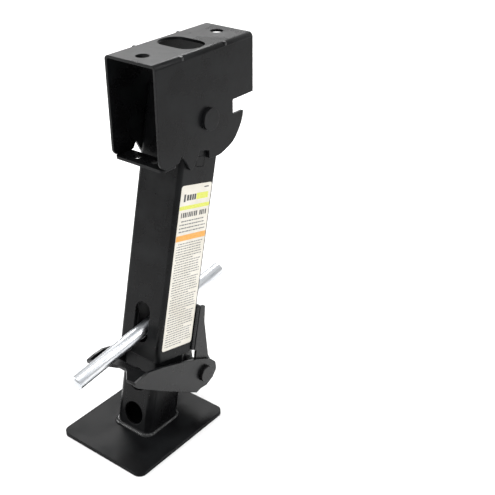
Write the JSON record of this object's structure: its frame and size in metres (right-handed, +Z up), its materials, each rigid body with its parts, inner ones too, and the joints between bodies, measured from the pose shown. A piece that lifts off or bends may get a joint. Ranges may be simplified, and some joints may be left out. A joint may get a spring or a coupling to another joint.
{
  "type": "stabilizer jack",
  "caption": "Swing-down telescoping stabilizer jack: channel bracket, square tube leg with ladder holes, foot plate, lock lever and round lift bar.",
  "frame": {"origin": "centre of the foot plate's underside", "axes": "+Z up to the bracket's bolting face, +Y to the back, where the leg swings up to stow, +X to the right"},
  "size_m": [0.124, 0.2638, 0.435],
  "materials": {
    "black_powder_coat": "semi-gloss black powder coat",
    "zinc_steel": "bright zinc plate",
    "spring_steel": "oiled spring steel",
    "bush_bronze": "sintered bronze",
    "label_film": "printed vinyl"
  },
  "bodies": {
    "bracket": {"mount_bracket": "black_powder_coat", "front_strap": "black_powder_coat", "pivot_pin": "black_powder_coat", "pivot_washer": "zinc_steel", "pivot_clip": "spring_steel"},
    "outer_tube": {"outer_tube": "black_powder_coat", "pivot_bush_right": "bush_bronze", "pivot_bush_left": "bush_bronze", "lever_ear_right": "black_powder_coat", "lever_ear_left": "black_powder_coat", "ear_weld_right": "black_powder_coat", "ear_weld_left": "black_powder_coat", "instruction_label": "label_film", "button_guide": "black_powder_coat", "button_spring": "spring_steel", "lever_spring": "spring_steel"},
    "lock_button_right": {"lock_button_right": "black_powder_coat"},
    "lock_button_left": {"lock_button_left": "black_powder_coat"},
    "lock_lever": {"lock_lever": "black_powder_coat", "lock_pawl": "black_powder_coat", "lever_pin": "black_powder_coat", "lever_washer": "zinc_steel", "lever_clip": "spring_steel"},
    "inner_leg": {"inner_leg": "black_powder_coat", "foot_plate": "black_powder_coat", "foot_weld": "black_powder_coat"},
    "lift_bar": {"lift_bar": "zinc_steel"}
  },
  "joints": [
    {"name": "leg_swing", "type": "hinge", "parent": "bracket", "child": "outer_tube", "pos_m": [0, 0.0916, 0.3604], "axis": [1, 0, 0], "range_deg": [0, 103.7]},
    {"name": "leg_slide", "type": "slide", "parent": "outer_tube", "child": "inner_leg", "axis": [0, -0.2367, -0.9716], "range_m": [0, 0.1311]},
    {"name": "lever_turn", "type": "hinge", "parent": "outer_tube", "child": "lock_lever", "pos_m": [0, 0.06828, 0.04918], "axis": [1, 0, 0], "range_deg": [-10, 7]},
    {"name": "bar_tilt", "type": "hinge", "parent": "outer_tube", "child": "lift_bar", "pos_m": [0, 0.03582, 0.1314], "axis": [1, 0, 0], "range_deg": [-35, 0]},
    {"name": "button_right_slide", "type": "slide", "parent": "outer_tube", "child": "lock_button_right", "axis": [1, 0, 0], "range_m": [0, 0.0037]},
    {"name": "button_left_slide", "type": "slide", "parent": "outer_tube", "child": "lock_button_left", "axis": [-1, 0, 0], "range_m": [0, 0.0037]}
  ],
  "couplings": [
    {"joint": "button_left_slide", "follows": "button_right_slide", "ratio": 1}
  ]
}
